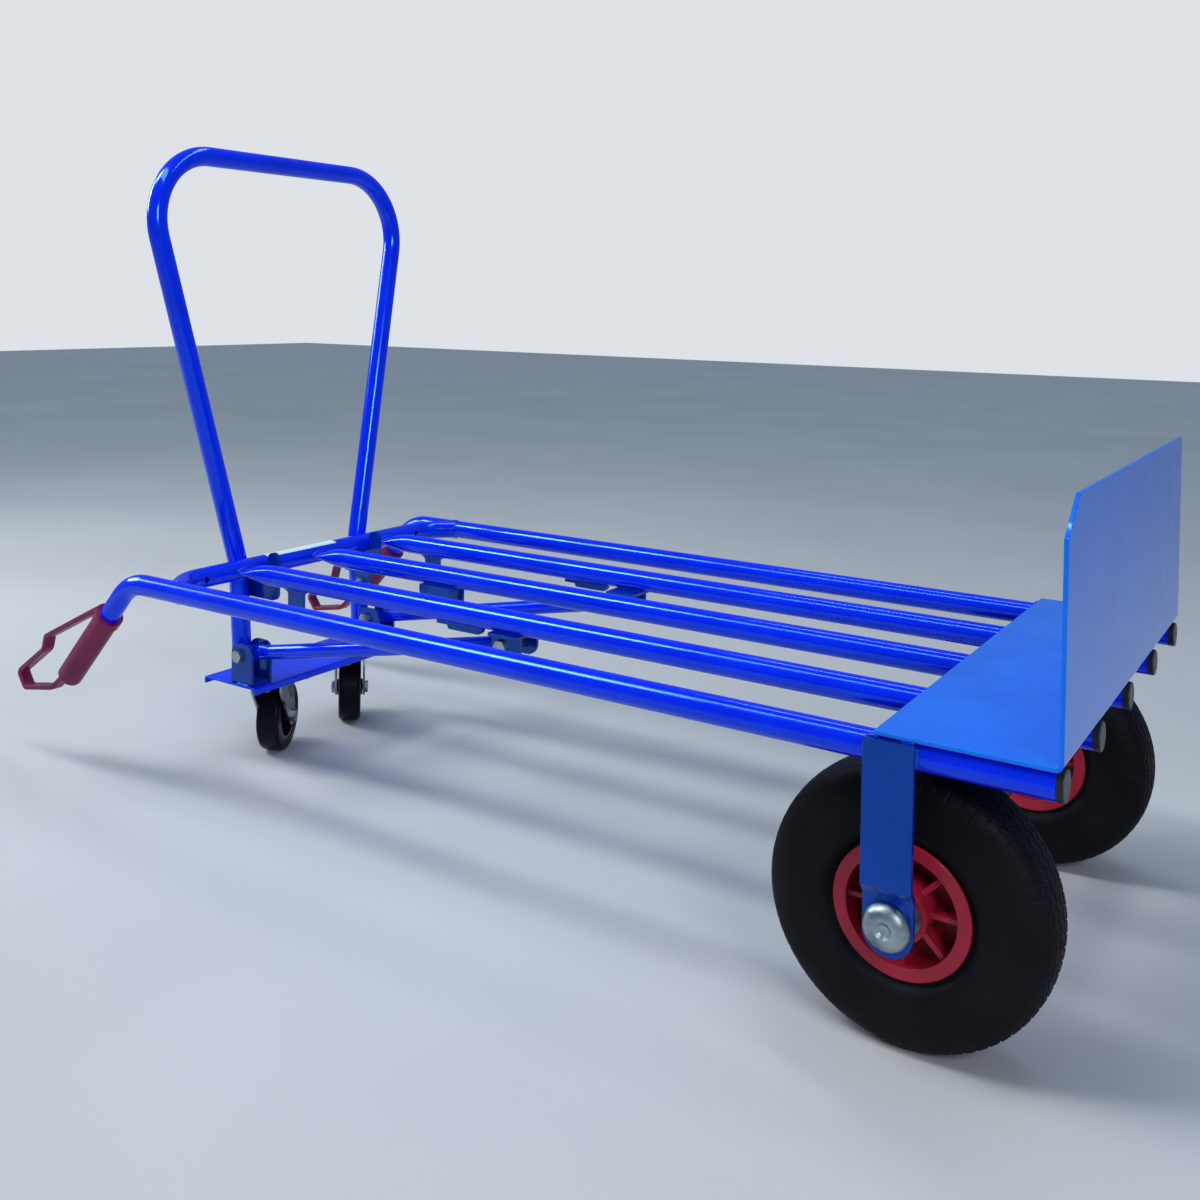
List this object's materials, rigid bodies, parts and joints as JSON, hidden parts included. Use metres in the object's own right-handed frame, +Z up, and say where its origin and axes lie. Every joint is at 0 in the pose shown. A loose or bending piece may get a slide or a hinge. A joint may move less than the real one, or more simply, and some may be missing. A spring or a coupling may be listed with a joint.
{
  "type": "convertible hand truck",
  "caption": "Tubular steel hand truck standing as a platform trolley, with a bent toe plate, pneumatic wheels, a fold-out hoop leg on castors and guarded grips.",
  "frame": {"origin": "on the floor, halfway along and across the object's bounding box", "axes": "+X from the grips towards the toe plate, +Y to the left of that direction, +Z up; standing on its main wheels and castors"},
  "size_m": [1.4148, 0.6482, 0.884],
  "materials": {
    "blue_enamel": "glossy baked enamel",
    "blue_sheet": "glossy baked enamel on sheet",
    "zinc": "bright zinc plate",
    "axle_steel": "ground steel",
    "red_rim": "moulded, semi-gloss",
    "red_grip": "moulded, semi-gloss",
    "tyre_rubber": "matte black rubber",
    "tube_rubber": "matte black rubber",
    "castor_rubber": "satin black rubber",
    "castor_hub": "glossy dark plastic",
    "plug_black": "matte black plastic",
    "label_blank": "plain vinyl label, blank"
  },
  "bodies": {
    "frame": {"rail_left": "blue_enamel", "rail_right": "blue_enamel", "deck_tube_left": "blue_enamel", "deck_tube_middle": "blue_enamel", "deck_tube_right": "blue_enamel", "crossbar": "blue_enamel", "toe_plate": "blue_sheet", "wheel_bracket_left": "blue_enamel", "wheel_bracket_right": "blue_enamel", "axle": "axle_steel", "hub_cap_left": "zinc", "hub_cap_right": "zinc", "axle_spacers": "zinc", "end_plugs": "plug_black", "grip_left": "red_grip", "grip_right": "red_grip", "label_strip": "label_blank", "pivot_bracket_left": "blue_enamel", "pivot_bracket_right": "blue_enamel", "stop_plate_left": "blue_enamel", "stop_plate_right": "blue_enamel", "support_tab_left": "blue_enamel", "support_tab_right": "blue_enamel", "catch_bracket": "blue_enamel", "pivot_bolts": "zinc", "pivot_bushes": "zinc"},
    "wheel_left": {"tyre_left": "tyre_rubber", "inner_tube_left": "tube_rubber", "rim_left": "red_rim", "wheel_bearings_left": "axle_steel"},
    "wheel_right": {"tyre_right": "tyre_rubber", "inner_tube_right": "tube_rubber", "rim_right": "red_rim", "wheel_bearings_right": "axle_steel"},
    "struts": {"strut_left": "blue_enamel", "strut_right": "blue_enamel"},
    "leg_frame": {"hoop": "blue_enamel", "foot_bracket_left": "blue_enamel", "foot_bracket_right": "blue_enamel", "castor_channel": "blue_enamel", "cradle_left": "blue_enamel", "cradle_right": "blue_enamel", "lug_bolt": "zinc", "foot_bolts": "zinc", "foot_bushes": "zinc", "castor_plate_left": "zinc", "castor_plate_right": "zinc", "kingpin_left": "zinc", "kingpin_right": "zinc", "castor_mount_bolts": "zinc"},
    "castor_fork_left_body": {"castor_fork_left": "zinc", "castor_axle_left": "zinc"},
    "castor_fork_right_body": {"castor_fork_right": "zinc", "castor_axle_right": "zinc"},
    "castor_wheel_left": {"castor_tyre_left": "castor_rubber", "castor_hub_left": "castor_hub"},
    "castor_wheel_right": {"castor_tyre_right": "castor_rubber", "castor_hub_right": "castor_hub"}
  },
  "joints": [
    {"name": "wheel_left_spin", "type": "hinge", "parent": "frame", "child": "wheel_left", "pos_m": [0.567, 0.24, 0.13], "axis": [0, 1, 0], "continuous": true},
    {"name": "wheel_right_spin", "type": "hinge", "parent": "frame", "child": "wheel_right", "pos_m": [0.567, -0.24, 0.13], "axis": [0, 1, 0], "continuous": true},
    {"name": "strut_swing", "type": "hinge", "parent": "frame", "child": "struts", "pos_m": [0.043, 0, 0.251], "axis": [0, -1, 0], "range_deg": [0, 142]},
    {"name": "leg_fold", "type": "hinge", "parent": "struts", "child": "leg_frame", "pos_m": [-0.41, 0, 0.161], "axis": [0, -1, 0], "range_deg": [-57, 0]},
    {"name": "castor_left_swivel", "type": "hinge", "parent": "leg_frame", "child": "castor_fork_left_body", "pos_m": [-0.416, 0.085, 0.108], "axis": [0, 0, 1], "continuous": true},
    {"name": "castor_left_spin", "type": "hinge", "parent": "castor_fork_left_body", "child": "castor_wheel_left", "pos_m": [-0.43437, 0.10613, 0.05], "axis": [-0.7547, -0.6561, 0], "continuous": true},
    {"name": "castor_right_swivel", "type": "hinge", "parent": "leg_frame", "child": "castor_fork_right_body", "pos_m": [-0.416, -0.085, 0.108], "axis": [0, 0, 1], "continuous": true},
    {"name": "castor_right_spin", "type": "hinge", "parent": "castor_fork_right_body", "child": "castor_wheel_right", "pos_m": [-0.42827, -0.05983, 0.05], "axis": [-0.8988, -0.4384, 0], "continuous": true}
  ],
  "couplings": [
    {"joint": "leg_fold", "follows": "strut_swing", "ratio": -0.4}
  ]
}
